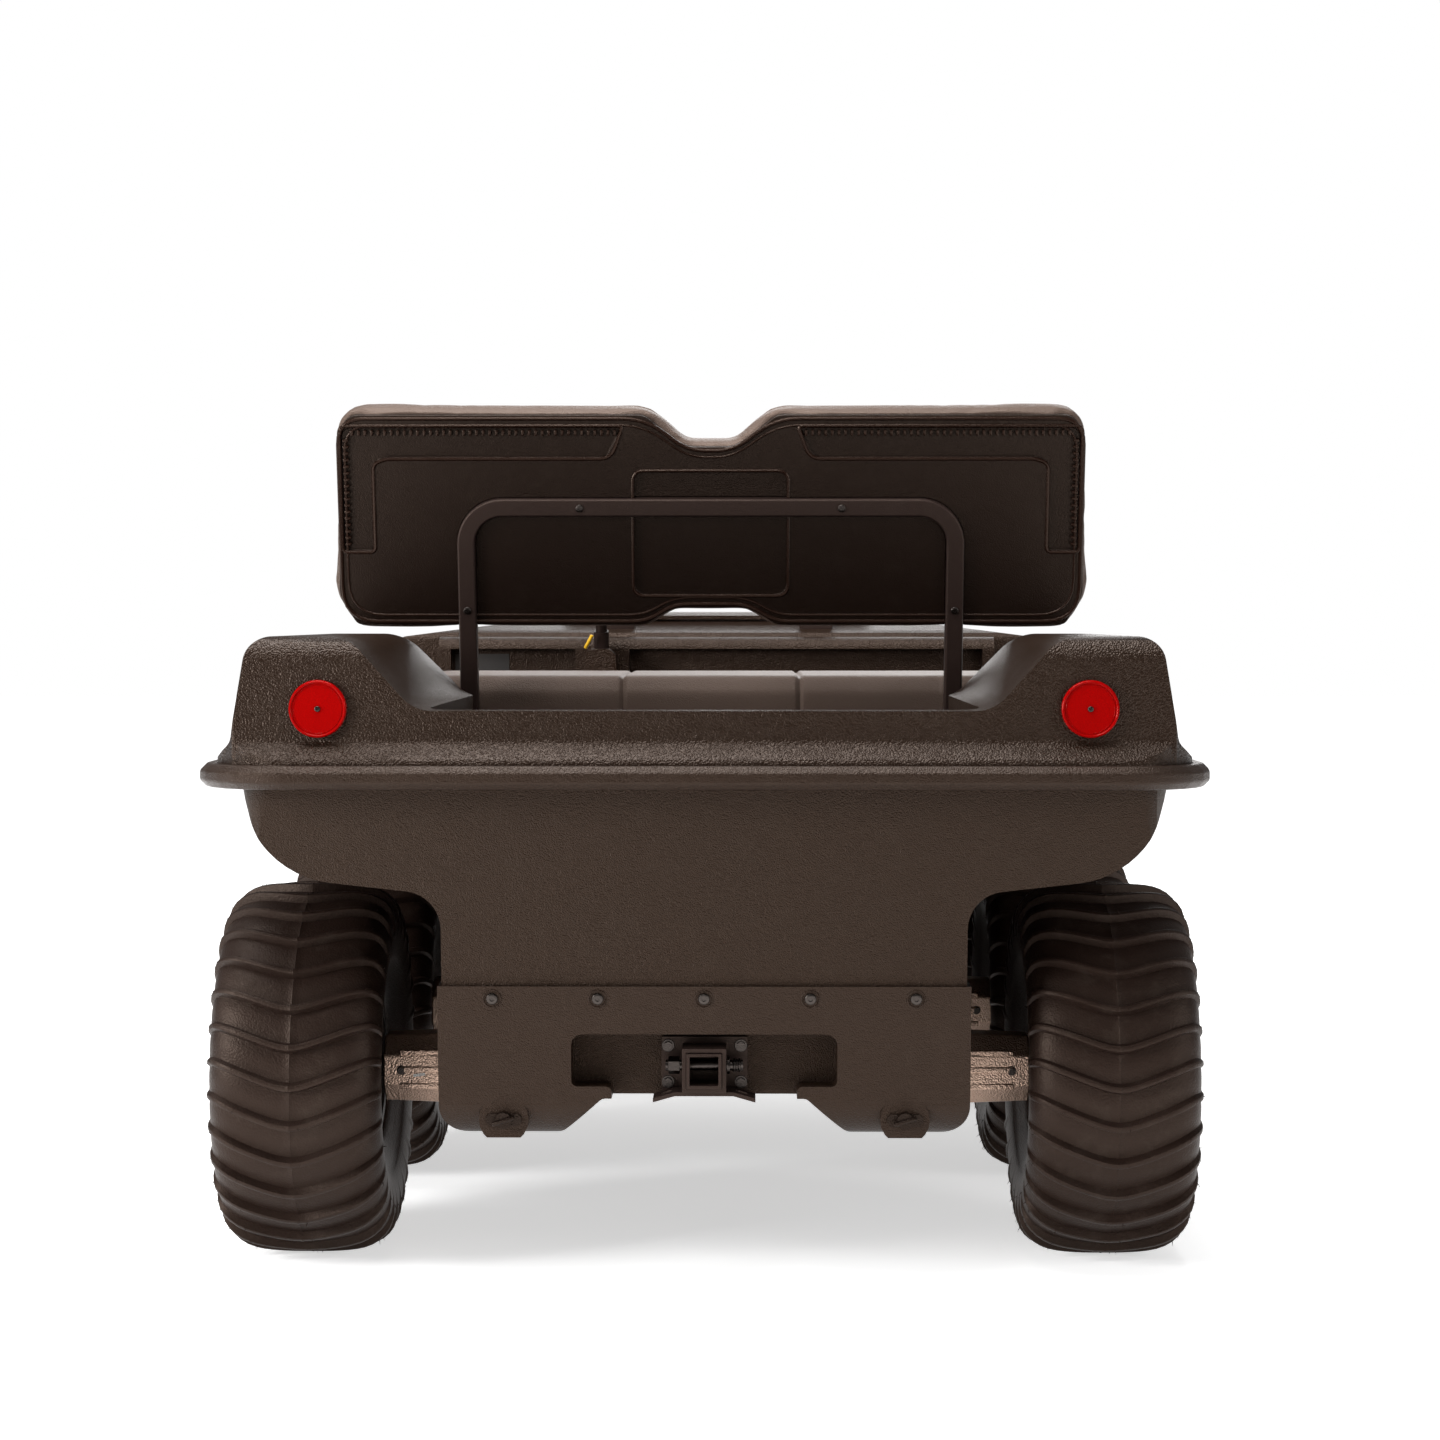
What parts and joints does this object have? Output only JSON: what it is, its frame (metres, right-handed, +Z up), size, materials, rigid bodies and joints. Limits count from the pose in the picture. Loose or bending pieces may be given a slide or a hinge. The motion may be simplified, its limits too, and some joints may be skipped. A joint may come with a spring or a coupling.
{
  "type": "amphibious all terrain vehicle",
  "caption": "Open plastic-bodied six-wheel amphibious vehicle with bench seat, cargo well, handlebar steering, hood lid and rear tow receiver.",
  "frame": {"origin": "on the ground, under the middle of the bounding box", "axes": "+X to the vehicle's right, +Y forward, +Z up"},
  "size_m": [1.46, 2.41, 1.3345],
  "materials": {
    "hull_plastic": "grained",
    "body_plastic": "grained",
    "trim_plastic": "satin",
    "frame_metal": "powder coat",
    "seat_vinyl": "vinyl",
    "grip_rubber": "matte",
    "cast_engine": "cast",
    "cast_aluminium": "as cast",
    "bright_steel": "zinc",
    "tyre_rubber": "matte",
    "rim_metal": "painted",
    "red_lens": "prismatic",
    "clear_lens": "clear"
  },
  "bodies": {
    "body": {"lower_hull": "hull_plastic", "upper_body": "body_plastic", "rub_rail": "trim_plastic", "skid_plate": "trim_plastic", "floor_pan": "frame_metal", "seat_base": "body_plastic", "seat_cushion": "seat_vinyl", "seat_back_frame": "frame_metal", "seat_back_shell": "trim_plastic", "seat_back_pad": "seat_vinyl", "back_brackets": "frame_metal", "dash_panel": "body_plastic", "steering_column": "frame_metal", "hood_hinges": "frame_metal", "engine": "cast_engine", "engine_bearers": "frame_metal", "hitch_receiver": "frame_metal", "drawbar_stub": "frame_metal", "hitch_pin": "bright_steel", "drain_plugs": "trim_plastic", "rear_reflectors": "red_lens", "headlamps": "clear_lens", "tow_eye": "frame_metal", "axle_housing_rear": "cast_aluminium", "axle_housing_middle": "cast_aluminium", "axle_housing_front": "cast_aluminium"},
    "handlebar": {"handlebar": "frame_metal", "handlebar_grips": "grip_rubber"},
    "hood": {"hood_lid": "body_plastic"},
    "wheel_rear_left": {"tyre_rear_left": "tyre_rubber", "rim_rear_left": "rim_metal"},
    "wheel_rear_right": {"tyre_rear_right": "tyre_rubber", "rim_rear_right": "rim_metal"},
    "wheel_middle_left": {"tyre_middle_left": "tyre_rubber", "rim_middle_left": "rim_metal"},
    "wheel_middle_right": {"tyre_middle_right": "tyre_rubber", "rim_middle_right": "rim_metal"},
    "wheel_front_left": {"tyre_front_left": "tyre_rubber", "rim_front_left": "rim_metal"},
    "wheel_front_right": {"tyre_front_right": "tyre_rubber", "rim_front_right": "rim_metal"}
  },
  "joints": [
    {"name": "steering", "type": "hinge", "parent": "body", "child": "handlebar", "pos_m": [-0.228, 0.522, 0.94], "axis": [0, -0.309, 0.9511], "range_deg": [-35, 35]},
    {"name": "hood_hinge", "type": "hinge", "parent": "body", "child": "hood", "pos_m": [0, 0.647, 0.974], "axis": [1, 0, 0], "range_deg": [0, 65]},
    {"name": "wheel_rear_left_spin", "type": "hinge", "parent": "body", "child": "wheel_rear_left", "pos_m": [-0.599, -0.835, 0.282], "axis": [1, 0, 0], "continuous": true},
    {"name": "wheel_rear_right_spin", "type": "hinge", "parent": "body", "child": "wheel_rear_right", "pos_m": [0.599, -0.835, 0.282], "axis": [1, 0, 0], "continuous": true},
    {"name": "wheel_middle_left_spin", "type": "hinge", "parent": "body", "child": "wheel_middle_left", "pos_m": [-0.599, -0.145, 0.282], "axis": [1, 0, 0], "continuous": true},
    {"name": "wheel_middle_right_spin", "type": "hinge", "parent": "body", "child": "wheel_middle_right", "pos_m": [0.599, -0.145, 0.282], "axis": [1, 0, 0], "continuous": true},
    {"name": "wheel_front_left_spin", "type": "hinge", "parent": "body", "child": "wheel_front_left", "pos_m": [-0.599, 0.545, 0.282], "axis": [1, 0, 0], "continuous": true},
    {"name": "wheel_front_right_spin", "type": "hinge", "parent": "body", "child": "wheel_front_right", "pos_m": [0.599, 0.545, 0.282], "axis": [1, 0, 0], "continuous": true}
  ]
}
